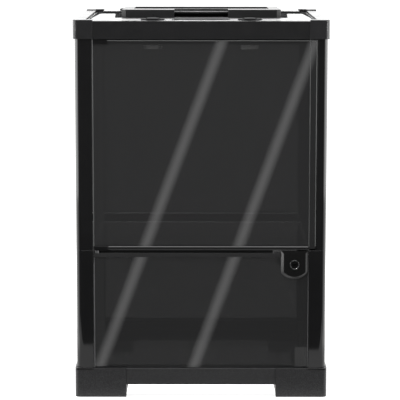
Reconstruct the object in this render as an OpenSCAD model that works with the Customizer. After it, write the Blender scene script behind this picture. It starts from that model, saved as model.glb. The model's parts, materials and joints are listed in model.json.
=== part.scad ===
// Reptile terrarium: a two-storey glazed cabinet on four feet. Smoked panes stand in
// grooved plastic posts and rails. The upper front pane is a hinged door with a key lock
// below it, and a lift-off ventilated lid with a feeding hatch closes the top.
// Millimetres, Z up, front towards -Y, origin on the table under the cabinet's centre.

/* [Cabinet] */
// Width over the feet, left to right
cab_w = 210; // [190:1:260]
// Depth over the feet, front to back
cab_d = 210; // [200:1:260]
// Height of the lower storey, from the base bars to the joint in the posts
lower_h = 100; // [80:1:160]
// Height of the upper storey, from that joint to the top frame
upper_h = 174.8; // [120:0.1:240]

/* [Feet and base] */
// Length of a foot along each side
foot_w = 42.5; // [34:0.5:52]
// Corner radius of a foot
foot_r = 4; // [3:0.5:7]
// Wall of a foot and of the part of it that wraps the frame's corner
foot_wall = 2.4; // [1.8:0.1:3]
// Height of a foot's lip over the base bars
foot_lip = 0.6; // [0.3:0.1:1.5]
// Height of the base bars' underside over the table
bar_clear = 10.4; // [9:0.1:14]
// Height of a base bar
bar_h = 13.6; // [12:0.1:20]
// Setback of a base bar behind the feet
bar_back = 1; // [0.5:0.1:2]
// Thickness of the ledge that carries the floor pane
ledge_t = 2; // [1.5:0.1:3]
// Reach of that ledge inside the bars
ledge_w = 9; // [6:0.5:14]
// Radius of a foot screw's shank
screw_r = 1.5; // [1.2:0.1:2]
// Length of a foot screw's shank
screw_l = 12; // [9:0.5:13]
// Distance of a foot screw along the side from the cabinet's corner
screw_at = 27; // [22:0.5:30]

/* [Posts] */
// Side of a square post
post_s = 14.15; // [13:0.05:18]
// Radius of a post's outer edge
post_r = 6; // [2:0.5:7]
// Setback of the posts behind the feet
post_back = 1.25; // [1:0.05:2]
// Radius of the peg in a post's end
peg_r = 2; // [1.5:0.1:2.5]
// Length of that peg
peg_l = 7; // [5:0.5:10]

/* [Panes] */
// Thickness of a pane
pane_t = 4; // [3:0.1:5]
// Setback of the panes' outer faces behind the feet
pane_back = 3.5; // [3.2:0.1:4]
// Depth of a post's groove for a pane's side edge
groove_d = 6; // [4:0.1:7]
// Side clearance of a pane in a groove
pane_fit = 0.15; // [0.05:0.05:0.3]
// End clearance of a pane in a groove
pane_end = 0.2; // [0.1:0.05:0.5]

/* [Middle rails] */
// Part of a side or rear rail below the posts' joint
rail_down = 6.5; // [5:0.1:9]
// Part of a side or rear rail above the posts' joint
rail_up = 2.5; // [2:0.1:4]
// Thickness of that rail's web between its two grooves
rail_web = 2; // [1.5:0.1:3]
// Setback of the middle rails behind the posts
rail_back = 0.3; // [0.1:0.1:1]
// Height of the front rail's sill
sill_h = 3.3; // [3:0.1:5]
// Gap between the sill and the door bar, where air goes in
vent_gap = 2.2; // [1.8:0.1:4]
// Skin of the sill over the lower pane's top edge
sill_skin = 1.2; // [1:0.1:2]
// Height of the slotted upstand that the door closes against
stop_h = 5.6; // [4:0.1:8]
// Thickness of that upstand
stop_t = 3; // [2:0.1:4]
// Gap between the door's bar and the upstand
stop_gap = 0.6; // [0.5:0.1:1]
// Width of a vent slot
slot_w = 7; // [4:0.5:7.5]
// Height of a vent slot
slot_h = 1.6; // [1:0.1:2]
// Distance from one vent slot to the next
slot_pitch = 10; // [9:0.5:16]

/* [Top frame] */
// Height of the top frame
top_h = 14.7; // [12:0.1:18]
// Side of a corner block
block_s = 16; // [15.8:0.1:20]
// Radius of a corner block's outer edge
block_r = 4; // [2:0.5:7]
// Height of the corner blocks over the rails
block_lip = 1; // [0.4:0.1:2]
// Setback of the top rails behind the corner blocks
top_back = 0.4; // [0.2:0.1:1]
// Width of a top rail outside the lid
top_w = 8.3; // [8:0.1:10]
// Depth of the rails' seat for the lid, below their top
seat_down = 4.1; // [3.8:0.1:6]
// Height of the flange inside the panes, below the rails
flange_h = 5; // [3:0.1:8]
// Distance of that flange's outer face behind the feet
flange_back = 9.6; // [9.5:0.1:10.5]
// Depth of the top rails' grooves for the panes
top_groove = 4; // [3:0.1:5]

/* [Door] */
// Radius of a hinge pin
pin_r = 1.2; // [1:0.05:1.3]
// Radial clearance of the pins in their bushes
pin_fit = 0.05; // [0.02:0.01:0.08]
// Outer radius of a hinge bush
bush_r = 2; // [1.8:0.05:2]
// Distance of the hinge axis from the left post
axis_in = 3; // [2.9:0.1:4]
// Gap between the door pane and the left post
door_gap = 0.3; // [0.2:0.1:0.6]
// Overlap of the door pane on the right post
door_lap = 5.4; // [3:0.1:5.5]
// Gap between the door's top edge and the top frame
door_top = 1; // [0.8:0.1:2]
// Height of the bar along the door's bottom edge
bar_up = 3.2; // [2.5:0.1:6]
// Wall of that bar under the pane and on each side of it
bar_wall = 1; // [0.8:0.1:1.2]
// Chamfer of that bar's upper front edge
bar_edge = 0.5; // [0.2:0.1:0.6]
// Height of the slope at the foot of the bar's front
bar_foot = 1.4; // [0.8:0.1:2]
// Setback of that slope at the bar's underside
bar_slope = 0.6; // [0.2:0.1:0.8]
// Length of a hinge block
hinge_l = 11.6; // [9:0.1:16]
// Depth of a hinge block in front of the pane
hinge_out = 1.8; // [1.4:0.1:2]
// Clearance round the moving parts of the door and the lock
move_gap = 0.3; // [0.2:0.05:0.5]

/* [Lock] */
// Width of the lock plate
lock_w = 22.5; // [20:0.5:26]
// Height of the lock plate
lock_h = 23.7; // [21:0.1:28]
// Thickness of the lock plate
lock_t = 3.3; // [2.5:0.1:3.4]
// Width of the bevel round the lock plate
bevel = 2.2; // [1:0.1:3]
// Depth of that bevel
bevel_t = 1.8; // [0.8:0.1:2]
// Gap between the lock plate and the right post
lock_side = 0.8; // [0.4:0.1:6]
// Radius of the lock barrel
barrel_r = 3.75; // [3:0.05:4.5]
// Radial clearance of the barrel in its sleeve
barrel_fit = 0.06; // [0.02:0.01:0.09]
// Distance from the plate's top edge to the barrel's axis
barrel_down = 11.5; // [9.5:0.1:12.5]
// Outer radius of the lock's sleeve
sleeve_r = 5.4; // [5.3:0.1:6]
// Thickness of the nut behind the pane
nut_t = 3.4; // [2.5:0.1:4]
// Width of the nut across its flats
nut_w = 14; // [13.5:0.5:15]
// Length of the cam, from the axis to its tip
cam_l = 14.5; // [13.8:0.1:15.5]
// Width of the cam
cam_w = 6; // [4:0.5:7]
// Thickness of the cam
cam_t = 1.5; // [1:0.1:2]
// Thickness of the door bar's strike
strike_t = 1.4; // [1:0.1:1.8]
// Wall of the strike round the cam's slot
strike_wall = 1.6; // [1.2:0.1:2.5]

/* [Lid] */
// Gap between the lid and the top frame
lid_gap = 0.3; // [0.2:0.05:0.6]
// Thickness of the lid's plate under the mesh
lid_t = 2; // [1.5:0.1:2.5]
// Gap between the lid and its seat
lid_rest = 0.1; // [0.05:0.05:0.3]
// Depth of the front deck
deck_front = 47; // [32:0.5:48]
// Depth of the rear deck
deck_rear = 20.5; // [20:0.5:24]
// Length of the side decks behind the front deck
deck_side = 75; // [40:0.5:84]
// Gap between the hatch and a side deck, at the front deck
deck_gap = 5.4; // [4:0.1:7]
// Taper of each long edge of a side deck
deck_taper = 2.8; // [0.5:0.1:4]
// Radius of the side decks' rear corners
deck_r = 5.5; // [2:0.5:6.5]
// Width of the bare mesh border along the lid's sides
border = 3.6; // [2:0.1:5]
// Thickness of the mesh sheets
mesh_t = 0.8; // [0.5:0.1:1]
// Width of the lid mesh's diamonds
mesh_cell = 6.5; // [6:0.5:12]
// Width of the hatch mesh's diamonds
hatch_cell = 8; // [7.5:0.5:14]
// Width of a strand of the mesh
strand = 1.1; // [0.8:0.1:1.6]

/* [Lid locks] */
// Distance of a lid lock from the middle of its side
knob_x = 40; // [32:0.5:44]
// Distance of a lid lock from the lid's edge
knob_in = 10.5; // [10.4:0.1:12]
// Radius of a knob's disc
knob_r = 10; // [8:0.1:10.2]
// Width of a knob's grip
grip_w = 9.2; // [6:0.1:10]
// Height of a knob's grip over its disc
grip_h = 0.7; // [0.5:0.1:4]
// Thickness of a knob's disc
disc_t = 0.8; // [0.7:0.1:1.5]
// Radius of a knob's shaft
shaft_r = 2; // [1.8:0.1:2.1]
// Radial clearance of the shafts in the lid
shaft_fit = 0.06; // [0.02:0.01:0.09]
// Wall of the boss round a shaft
boss_wall = 1.5; // [1.2:0.1:1.6]
// Length of a tongue
tongue_l = 15; // [13.5:0.1:15.4]
// Width of a tongue
tongue_w = 7; // [6:0.1:8]
// Thickness of a tongue
tongue_t = 3.4; // [2.5:0.1:4]
// Gap between a tongue and the flange that it hooks under
tongue_gap = 0.8; // [0.4:0.1:1.2]

/* [Feeding hatch] */
// Width of the hatch
hatch_w = 134.4; // [120:0.1:136]
// Depth of the lid's mesh window between the hatch's hinges and the rear deck
rear_window_d = 16.4; // [12:0.1:24]
// Height of the hatch's front over the decks
hatch_up = 6.8; // [6:0.1:9]
// Height of the hatch's rear over the decks
hatch_rear = 5.2; // [3:0.1:6]
// Wall of the hatch's shell
hatch_wall = 2.4; // [1.8:0.1:3]
// Chamfer of the hatch's front corners
hatch_cut = 3.6; // [2:0.1:5]
// Width of the finger notch
notch_w = 45.6; // [30:0.1:60]
// Depth of the finger notch
notch_d = 26; // [22:0.5:30]
// Depth of the finger lip at the notch's sides
lip_d = 12; // [8:0.5:14]
// Bow of the lip's front edge
lip_bow = 4; // [2:0.5:6]
// Thickness of the lip
lip_t = 1.4; // [1:0.1:1.8]
// Height of the notch's rear wall over the lip
lip_down = 1.8; // [1:0.1:2.4]
// Depth of the hatch's front part, ahead of its mesh
brow_d = 33; // [31:0.5:38]
// Height of the ring that the hatch rests on, over the lid's plate
ring_h = 0.8; // [0.5:0.1:1.2]
// Width of the ring inside the hatch's edge
ring_w = 7; // [5:0.5:9]
// Distance of a hatch hinge from the hatch's middle
leaf_x = 42; // [38:0.5:52]
// Length of a hatch hinge's knuckle
leaf_w = 9; // [8:0.5:14]
// Width of a lug beside a knuckle
lug_w = 3; // [3:0.1:5]
// Outer radius of the knuckles and lugs
leaf_r = 2.6; // [2.4:0.1:2.8]
// Radius of a hatch pin
hatch_pin_r = 1.3; // [1:0.05:1.4]
// Width of the ribbed thumb pad
pad_w = 48; // [30:0.5:56]
// Distance of the thumb pad from the lid's front edge
pad_in = 7; // [2:0.5:10]
// Number of ribs on the thumb pad
rib_count = 8; // [4:1:9]

/* [Cable inlets] */
// Radius of an inlet
inlet_r = 3; // [2.5:0.1:3.4]
// Radial clearance of a plug in its inlet
plug_fit = 0.06; // [0.02:0.01:0.09]
// Radius of a plug's head
plug_r = 4.2; // [3.9:0.1:5]
// Height of a plug's head
plug_h = 2.2; // [1.5:0.1:3]
// Distance of the inner inlet from the rear left lid lock, along the lid
inlet_off = 18.5; // [16:0.5:20]
// Distance between the two inlets
inlet_pitch = 11.5; // [10.5:0.1:12]
// Distance of the inlets behind the rear lid locks' axes
inlet_back = 2.5; // [0:0.1:3.5]

/* [Hidden] */
$fn = 64;
eps = 0.01;
fit = 0.1; // flat clearance between two pieces of one assembly

// Heights
screw_head_z = bar_clear - 5.4;
screw_top = screw_head_z + screw_l;
bar_top = bar_clear + bar_h;
seam = bar_top + lower_h;
post_top = seam + upper_h;
frame_top = post_top + top_h;
seat_top = frame_top - seat_down;
flange_low = post_top - flange_h;
sill_top = seam - vent_gap;
sill_low = sill_top - sill_h;

// Setbacks from the feet's outer faces, inward
post_in = post_back + post_s;
pane_in = pane_back + pane_t;
groove_end = post_in - groove_d;
peg_at = (pane_in + pane_fit + post_in) / 2;
corner_cut = foot_wall + pane_fit;
screw_y = (corner_cut + post_in) / 2;
lid_back = top_back + top_w + lid_gap;
rail_y = post_back + rail_back;

// Panes' lower and upper edges
foot_groove = 5; // depth of the base bars' grooves for the panes
pane_foot = bar_top - foot_groove + pane_end;
lower_top = seam - rail_down + (rail_down + rail_up - rail_web) / 2 - pane_end;
upper_foot = lower_top + 2 * pane_end + rail_web;
upper_top = post_top + top_groove - pane_end;

// Door
axis_x = -cab_w / 2 + post_in + axis_in;
axis_y = -cab_d / 2 + pane_back;
door_left = -cab_w / 2 + post_in + door_gap;
door_right = cab_w / 2 - post_in + door_lap;
door_low = seam + bar_wall;
door_high = post_top - door_top;
block_left = axis_x - 2;
block_right = block_left + hinge_l;
bar_left = block_right + 0.2;
door_side = 0.7; // gap between the bar, or the cam, and what stands beside it
bar_right = cab_w / 2 - post_in - door_side;
channel_out = pane_back - pane_fit - bar_wall;
channel_in = pane_in + pane_fit + bar_wall;
stop_y = channel_in + stop_gap;
rebate_y = pane_in + move_gap;
bush_h = 4; // of the upper bush
pin_l = 3.8; // of the upper pin, inside its bush

// Lock
lock_x = cab_w / 2 - post_in - lock_side - lock_w / 2;
lock_top = seam - move_gap;
barrel_z = lock_top - barrel_down;
plate_y = pane_back - fit - lock_t;
cam_y = post_in + door_side;
strike_end = cam_y + cam_t + move_gap + strike_wall;
cam_reach = cam_l + move_gap;
notch_left = lock_x - cam_reach;
strike_left = notch_left - strike_wall;
strike_right = lock_x + cam_w / 2 + move_gap + strike_wall;
nut_room = nut_w / 2 / cos(30) + 0.4;
stop_left = -cab_w / 2 + post_in + fit + 2;
stop_right = strike_left - 1.5;
slot_margin = 5; // least distance of a slot from the upstand's ends
slot_count = 1 + floor((stop_right - stop_left - 2 * slot_margin - slot_w) / slot_pitch);
slot_x0 = (stop_left + stop_right - (slot_count - 1) * slot_pitch) / 2;
slot_z = seam + 0.2;

// Lid
lid_hx = cab_w / 2 - lid_back;
lid_hy = cab_d / 2 - lid_back;
lid_low = seat_top + lid_rest;
plate_top = lid_low + lid_t;
mesh_top = plate_top + mesh_t;
mesh_edge = 0.6; // of the lid's plate left bare round the mesh sheet
deck_edge = 0.3; // the same round the decks
deck_hx = lid_hx - border - mesh_edge;
deck_y0 = -lid_hy + deck_front;
deck_y1 = lid_hy - deck_rear;
knob_y = lid_hy - knob_in;
boss_r = shaft_r + shaft_fit + boss_wall;
tongue_top = flange_low - tongue_gap;
ring_top = plate_top + ring_h;
inlet_x = knob_x + inlet_off + inlet_pitch;
inlet_y = knob_y + inlet_back;
pad_y0 = -lid_hy + pad_in;
pad_y1 = deck_y0 - 2;

// Hatch
window_edge = 2; // of the lid's plate left beside the deck, the lugs and the ring
leaf_out = leaf_r + 0.9; // from the hatch's rear edge to its hinges' axis
window_gap = deck_y1 - window_edge - rear_window_d;
leaf_y = window_gap - window_edge - leaf_r;
hatch_y0 = deck_y0 + 1;
hatch_y1 = leaf_y - leaf_out;
hatch_d = hatch_y1 - hatch_y0;
hatch_low = ring_top + fit;
hatch_top0 = frame_top + hatch_up;
hatch_top1 = frame_top + hatch_rear;
notch_y = hatch_y0 + notch_d;
hatch_fall = (hatch_top0 - hatch_top1) / hatch_d;
lip_top = hatch_top0 - hatch_fall * notch_d - lip_down;
well_y0 = hatch_y0 + brow_d;
well_y1 = hatch_y1 - 5;
well_hx = hatch_w / 2 - 9;
well_rim = 2; // width of the shelf that carries the hatch's mesh
shelf_top = hatch_low + 1.2;
leaf_z = ring_top + leaf_r + 0.3;
ring_hx = hatch_w / 2 + 1;
open_hx = hatch_w / 2 - ring_w;
open_y0 = hatch_y0 + ring_w;
open_y1 = hatch_y1 - ring_w;
window_hx = lid_hx - 3;
lug_x = (leaf_w + lug_w) / 2 + move_gap; // from a knuckle's middle to a lug's
plug_dome = 3 * plug_r;

function along(k) = (k % 2 == 0 ? cab_w : cab_d) / 2;
function out(k) = (k % 2 == 0 ? cab_d : cab_w) / 2;

// ---- placing -----------------------------------------------------------------------

// Side k in order front, right, rear, left: x runs along it, y inward from the feet's face
module on_side(k) {
    rotate([0, 0, 90 * k]) translate([0, -out(k), 0]) children();
}

// Corner at signs (sx, sy): x and y both run inward from the feet's outer corner
module at_corner(sx, sy) {
    translate([sx * cab_w / 2, sy * cab_d / 2, 0])
        mirror([sx > 0 ? 1 : 0, 0, 0])
            mirror([0, sy > 0 ? 1 : 0, 0])
                children();
}

// A box from its two opposite corners
module span(low, high) {
    translate(low) cube(high - low);
}

// A profile drawn in (y, z) and run along x from x0 to x1
module run_x(x0, x1) {
    translate([x0, 0, 0]) rotate([90, 0, 90]) linear_extrude(x1 - x0) children();
}

// A rectangle from its two opposite corners
module rect(low, high) {
    translate(low) square(high - low);
}

// A square quarter whose one outer edge, at its low corner, is rounded
module round_corner(low, high, r) {
    difference() {
        rect([low, low], [high, high]);
        rect([low - eps, low - eps], [low + r, low + r]);
    }
    intersection() {
        translate([low + r, low + r]) circle(r);
        rect([low, low], [low + r, low + r]);
    }
}

// A rectangle centred on x with rounded corners
module rounded(w, y0, y1, r) {
    rect([-w / 2 + r, y0], [w / 2 - r, y1]);
    rect([-w / 2, y0 + r], [w / 2, y1 - r]);
    for (sx = [-1, 1], y = [y0 + r, y1 - r])
        translate([sx * (w / 2 - r), y]) circle(r);
}

// ---- base --------------------------------------------------------------------------

module base_frame() {
    color("#2e2e30") difference() {
        union() {
            translate([0, 0, bar_clear]) linear_extrude(bar_h) difference() {
                square([cab_w - 2 * bar_back, cab_d - 2 * bar_back], center = true);
                square([cab_w - 2 * post_in, cab_d - 2 * post_in], center = true);
                for (sx = [-1, 1], sy = [-1, 1]) at_corner(sx, sy) {
                    rect([-1, -1], [foot_w + fit, corner_cut]);
                    rect([-1, -1], [corner_cut, foot_w + fit]);
                }
            }
            translate([0, 0, bar_clear - ledge_t]) linear_extrude(ledge_t) difference() {
                square([cab_w - 2 * post_in + 1, cab_d - 2 * post_in + 1], center = true);
                rounded(cab_w - 2 * (post_in + ledge_w), -cab_d / 2 + post_in + ledge_w,
                    cab_d / 2 - post_in - ledge_w, 6);
            }
        }
        for (k = [0:3]) on_side(k)
            span([-along(k) + groove_end, pane_back - pane_fit, pane_foot - pane_end],
                [along(k) - groove_end, pane_in + pane_fit, bar_top + 1]);
        for (sx = [-1, 1], sy = [-1, 1]) at_corner(sx, sy) {
            translate([peg_at, peg_at, bar_top - peg_l - 0.3])
                cylinder(r = peg_r + fit, h = peg_l + 1);
            translate([screw_at, screw_y, bar_clear - 1])
                cylinder(r = screw_r + 0.03, h = screw_top - bar_clear + 1.3);
        }
    }
}

module foot() {
    color("#3a3a3c") difference() {
        union() {
            linear_extrude(bar_clear) round_corner(0, foot_w, foot_r);
            translate([0, 0, bar_clear]) linear_extrude(bar_h + foot_lip)
                intersection() {
                    round_corner(0, foot_w, foot_r);
                    union() {
                        rect([0, 0], [foot_w, foot_wall]);
                        rect([0, 0], [foot_wall, foot_w]);
                    }
                }
        }
        // room for the floor ledge above the foot's inner part
        span([post_in - 0.6, post_in - 0.6, bar_clear - ledge_t - 0.2],
            [foot_w + 1, foot_w + 1, bar_clear + 1]);
        // shallow socket for the post
        translate([0, 0, bar_top]) linear_extrude(foot_lip + 1)
            round_corner(post_back - 0.2, foot_w + 1, post_r);
        // cored underside, with a boss left round the screw
        difference() {
            translate([0, 0, -1]) linear_extrude(bar_clear - ledge_t - 0.2 - foot_wall + 1)
                round_corner(foot_wall, foot_w - foot_wall, foot_r - 1);
            translate([screw_at, screw_y, -2]) cylinder(r = screw_r + 4, h = bar_h);
            span([foot_w / 2 - 1, 0, -2], [foot_w / 2 + 1, foot_w, bar_h]);
            span([0, foot_w / 2 - 1, -2], [foot_w, foot_w / 2 + 1, bar_h]);
        }
        translate([screw_at, screw_y, -1]) cylinder(r = screw_r + 0.2, h = bar_h);
        translate([screw_at, screw_y, -1]) cylinder(r = screw_r + 1.8, h = screw_head_z + 1);
    }
}

module foot_front_left() { at_corner(-1, -1) foot(); }
module foot_front_right() { at_corner(1, -1) foot(); }
module foot_rear_left() { at_corner(-1, 1) foot(); }
module foot_rear_right() { at_corner(1, 1) foot(); }

module foot_screws() {
    color("silver") for (sx = [-1, 1], sy = [-1, 1]) at_corner(sx, sy)
        translate([screw_at, screw_y, 0]) {
            translate([0, 0, screw_head_z - eps]) cylinder(r = screw_r, h = screw_l + eps);
            difference() {
                translate([0, 0, screw_head_z - 2]) cylinder(r = screw_r + 1.4, h = 2);
                for (a = [0, 90]) rotate([0, 0, a])
                    span([-1.8, -0.4, screw_head_z - 3], [1.8, 0.4, screw_head_z - 0.8]);
            }
        }
}

module floor_pane() {
    color("#55585c", 0.6)
        translate([0, 0, bar_clear + pane_t / 2])
            cube([cab_w - 2 * post_in - 0.6, cab_d - 2 * post_in - 0.6, pane_t], center = true);
}

// ---- posts -------------------------------------------------------------------------

// Post between two heights. A face groove opens along x, a side groove along y
module post(z0, z1, face_groove, peg) {
    difference() {
        union() {
            translate([0, 0, z0]) linear_extrude(z1 - z0) difference() {
                round_corner(post_back, post_in, post_r);
                rect([pane_back - pane_fit, groove_end], [pane_in + pane_fit, post_in + 1]);
                if (face_groove)
                    rect([groove_end, pane_back - pane_fit], [post_in + 1, pane_in + pane_fit]);
            }
            translate([peg_at, peg_at, z0 - peg]) cylinder(r = peg_r, h = peg + 1);
        }
        translate([peg_at, peg_at, z1 - peg_l - 0.3]) cylinder(r = peg_r + fit, h = peg_l + 1);
    }
}

module lower_post() { color("#1b1b1d") post(bar_top, seam, true, peg_l); }
module upper_post(face_groove) { color("#1f1f21") post(seam, post_top, face_groove, peg_l); }

module lower_post_front_left() { at_corner(-1, -1) lower_post(); }
module lower_post_front_right() { at_corner(1, -1) lower_post(); }
module lower_post_rear_left() { at_corner(-1, 1) lower_post(); }
module lower_post_rear_right() { at_corner(1, 1) lower_post(); }

module upper_post_front_left() { at_corner(-1, -1) upper_post(false); }

// The post that the door closes on has a rebate for the pane's free edge
module upper_post_front_right() {
    at_corner(1, -1) difference() {
        upper_post(false);
        span([post_in - door_lap - 0.5, -1, seam - 1], [post_in + 1, rebate_y, post_top + 1]);
    }
}

module upper_post_rear_left() { at_corner(-1, 1) upper_post(true); }
module upper_post_rear_right() { at_corner(1, 1) upper_post(true); }

// ---- panes -------------------------------------------------------------------------

// Pane in side k's grooves, between two heights
module pane(k, z0, z1) {
    reach = along(k) - groove_end - pane_end;
    color("#55585c", 0.5) on_side(k) span([-reach, pane_back, z0], [reach, pane_in, z1]);
}

module lower_pane_front() {
    difference() {
        pane(0, pane_foot, sill_top - sill_skin - pane_end);
        translate([lock_x, -cab_d / 2, barrel_z]) rotate([-90, 0, 0])
            cylinder(r = sleeve_r + 0.2, h = pane_in + 1);
    }
}

module lower_pane_right() { pane(1, pane_foot, lower_top); }
module lower_pane_rear() { pane(2, pane_foot, lower_top); }
module lower_pane_left() { pane(3, pane_foot, lower_top); }
module upper_pane_right() { pane(1, upper_foot, upper_top); }
module upper_pane_rear() { pane(2, upper_foot, upper_top); }
module upper_pane_left() { pane(3, upper_foot, upper_top); }

// ---- middle rails ------------------------------------------------------------------

module middle_rail(k) {
    reach = along(k) - post_in - fit;
    color("#1f1f21") on_side(k) run_x(-reach, reach) difference() {
        rect([rail_y, seam - rail_down], [post_in, seam + rail_up]);
        rect([pane_back - pane_fit, seam - rail_down - 1],
            [pane_in + pane_fit, lower_top + pane_end]);
        rect([pane_back - pane_fit, upper_foot - pane_end],
            [pane_in + pane_fit, seam + rail_up + 1]);
    }
}

module middle_rail_right() { middle_rail(1); }
module middle_rail_rear() { middle_rail(2); }
module middle_rail_left() { middle_rail(3); }

// Sill under the door, with the slotted upstand that the door closes against
module vent_rail() {
    reach = cab_w / 2 - post_in - fit;
    color("#2e2e30") on_side(0) difference() {
        union() {
            run_x(-reach, reach) difference() {
                rect([rail_y, sill_low], [post_in, sill_top]);
                rect([pane_back - pane_fit, sill_low - 1],
                    [pane_in + pane_fit, sill_top - sill_skin]);
            }
            run_x(stop_left, stop_right)
                rect([stop_y, sill_top - 1], [stop_y + stop_t, sill_top + stop_h]);
        }
        // seat for the lock plate's top
        span([lock_x - lock_w / 2 - 0.2, -1, sill_low - 1],
            [lock_x + lock_w / 2 + 0.2, pane_back - 0.05, sill_top + 1]);
        // room for the lock's nut
        span([lock_x - nut_room, pane_in, sill_low - 1],
            [lock_x + nut_room, post_in + 1, sill_top - sill_skin]);
        // vent slots in the upstand, behind the door's bar
        for (i = [0:slot_count - 1])
            translate([slot_x0 + i * slot_pitch, 0, slot_z])
                span([-slot_w / 2, stop_y - 1, 0], [slot_w / 2, stop_y + stop_t + 1, slot_h]);
    }
}

// ---- top frame ---------------------------------------------------------------------

module top_rail(k, groove) {
    reach = along(k) - block_s - fit;
    color("#222224") on_side(k) run_x(-reach, reach) difference() {
        union() {
            rect([top_back, post_top], [top_back + top_w, frame_top]);
            rect([top_back, post_top], [post_in, seat_top]);
            rect([flange_back, flange_low], [post_in, seat_top]);
        }
        if (groove)
            rect([pane_back - pane_fit, post_top - 1],
                [pane_in + pane_fit, post_top + top_groove]);
    }
}

module top_rail_front() {
    difference() {
        top_rail(0, false);
        translate([axis_x, axis_y, post_top - 1])
            cylinder(r = bush_r + 0.03, h = bush_h + 1.2);
    }
}

module top_rail_right() { top_rail(1, true); }
module top_rail_rear() { top_rail(2, true); }
module top_rail_left() { top_rail(3, true); }

// Corner block: pegged into its post, notched for the lid's corner
module top_corner(face_groove) {
    color("#2a2a2c") difference() {
        union() {
            translate([0, 0, post_top]) linear_extrude(top_h + block_lip)
                round_corner(0, block_s, block_r);
            translate([peg_at, peg_at, post_top - peg_l]) cylinder(r = peg_r, h = peg_l + 1);
        }
        span([top_back + top_w, top_back + top_w, seat_top],
            [block_s + 1, block_s + 1, frame_top + block_lip + 1]);
        span([pane_back - pane_fit, groove_end, post_top - 1],
            [pane_in + pane_fit, block_s + 1, post_top + top_groove]);
        if (face_groove)
            span([groove_end, pane_back - pane_fit, post_top - 1],
                [block_s + 1, pane_in + pane_fit, post_top + top_groove]);
    }
}

module top_corner_front_left() { at_corner(-1, -1) top_corner(false); }
module top_corner_front_right() { at_corner(1, -1) top_corner(false); }
module top_corner_rear_left() { at_corner(-1, 1) top_corner(true); }
module top_corner_rear_right() { at_corner(1, 1) top_corner(true); }

// ---- door --------------------------------------------------------------------------

module bush(z, h) {
    color("#6b6d70") translate([axis_x, axis_y, z]) difference() {
        cylinder(r = bush_r, h = h);
        translate([0, 0, -1]) cylinder(r = pin_r + pin_fit, h = h + 2);
    }
}

module hinge_bush_top() { bush(post_top, bush_h); }
module hinge_bush_bottom() { bush(sill_top, vent_gap - move_gap); }

module door_pane() {
    color("#55585c", 0.5)
        span([door_left, -cab_d / 2 + pane_back, door_low],
            [door_right, -cab_d / 2 + pane_in, door_high]);
}

// Block that clamps the pane's corner; the pane's room is cut out of it
module hinge_block(z0, z1) {
    difference() {
        span([block_left, axis_y - hinge_out, z0],
            [block_right, -cab_d / 2 + channel_in, z1]);
        span([door_left - 1, -cab_d / 2 + pane_back - pane_fit, door_low],
            [block_right + 1, -cab_d / 2 + pane_in + pane_fit, door_high]);
    }
}

module door_hinge_top() {
    color("#1f1f21") union() {
        hinge_block(door_high - bar_up, door_high + door_top / 2);
        translate([axis_x, axis_y, door_high + door_top / 2 - eps])
            cylinder(r = pin_r, h = door_top / 2 + pin_l);
    }
}

module door_hinge_bottom() {
    color("#1f1f21") union() {
        hinge_block(seam, seam + bar_up + 0.2);
        translate([axis_x, axis_y, sill_top + fit]) cylinder(r = pin_r, h = vent_gap);
    }
}

// Channel under the door pane, with the slotted strike that the lock's cam rises into
module door_bar() {
    color("#1f1f21") difference() {
        on_side(0) union() {
            run_x(bar_left, bar_right) difference() {
                translate([channel_out, seam]) polygon([[bar_slope, 0],
                    [channel_in - channel_out, 0], [channel_in - channel_out, bar_up],
                    [bar_edge, bar_up], [0, bar_up - bar_edge], [0, bar_foot]]);
                rect([pane_back - pane_fit, door_low], [pane_in + pane_fit, seam + bar_up + 1]);
            }
            span([strike_left, channel_in - bar_wall, seam],
                [strike_right, strike_end, seam + strike_t]);
        }
        on_side(0) span([notch_left, cam_y - move_gap, seam - 1],
            [strike_right - strike_wall, cam_y + cam_t + move_gap, seam + strike_t + 1]);
    }
}

// ---- lock --------------------------------------------------------------------------

// Outline of the lock plate, drawn in (x, z) from its top edge's middle
module plate_outline(w, h) {
    r = w / 2 + 3;
    intersection() {
        rect([-w / 2, -h], [w / 2, 0]);
        union() {
            rect([-w / 2, -h + r - sqrt(r * r - w * w / 4)], [w / 2, 0]);
            translate([0, -h + r]) circle(r);
        }
    }
}

module lock_plate() {
    color("#1b1b1d") translate([lock_x, -cab_d / 2, lock_top]) difference() {
        union() {
            hull() {
                translate([0, plate_y + lock_t, 0]) rotate([90, 0, 0])
                    linear_extrude(lock_t - bevel_t) plate_outline(lock_w, lock_h);
                translate([0, plate_y + lock_t, -bevel]) rotate([90, 0, 0])
                    linear_extrude(lock_t) plate_outline(lock_w - 2 * bevel, lock_h - 2 * bevel);
            }
            translate([0, plate_y + lock_t - 1, -barrel_down]) rotate([-90, 0, 0])
                cylinder(r = sleeve_r, h = cam_y - fit - plate_y - lock_t + 1);
        }
        translate([0, plate_y - 1, -barrel_down]) rotate([-90, 0, 0])
            cylinder(r = barrel_r + barrel_fit, h = cam_y - plate_y + 2);
    }
}

module lock_nut() {
    color("#6b6d70") translate([lock_x, -cab_d / 2 + pane_in + fit, barrel_z])
        rotate([-90, 0, 0]) difference() {
            union() {
                cylinder(d = nut_w / cos(30), h = nut_t, $fn = 6);
                cylinder(r = nut_w / 2 + 0.6, h = 0.8);
            }
            translate([0, 0, -1]) cylinder(r = sleeve_r + 0.05, h = nut_t + 2);
        }
}

module lock_barrel() {
    color("#8a8c90") translate([lock_x, -cab_d / 2 + plate_y, barrel_z])
        rotate([-90, 0, 0]) difference() {
            union() {
                translate([0, 0, 0.2]) cylinder(r = barrel_r, h = cam_y - plate_y - 0.2);
                translate([-1.5, -1.5, cam_y - plate_y - eps]) cube([3, 3, cam_t + eps]);
            }
            // keyway
            translate([0, 0, -1]) linear_extrude(7) rect([-2.4, -0.45], [2.4, 0.45]);
            translate([0, 0, -1]) cylinder(r = 1, h = 5);
        }
}

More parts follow.
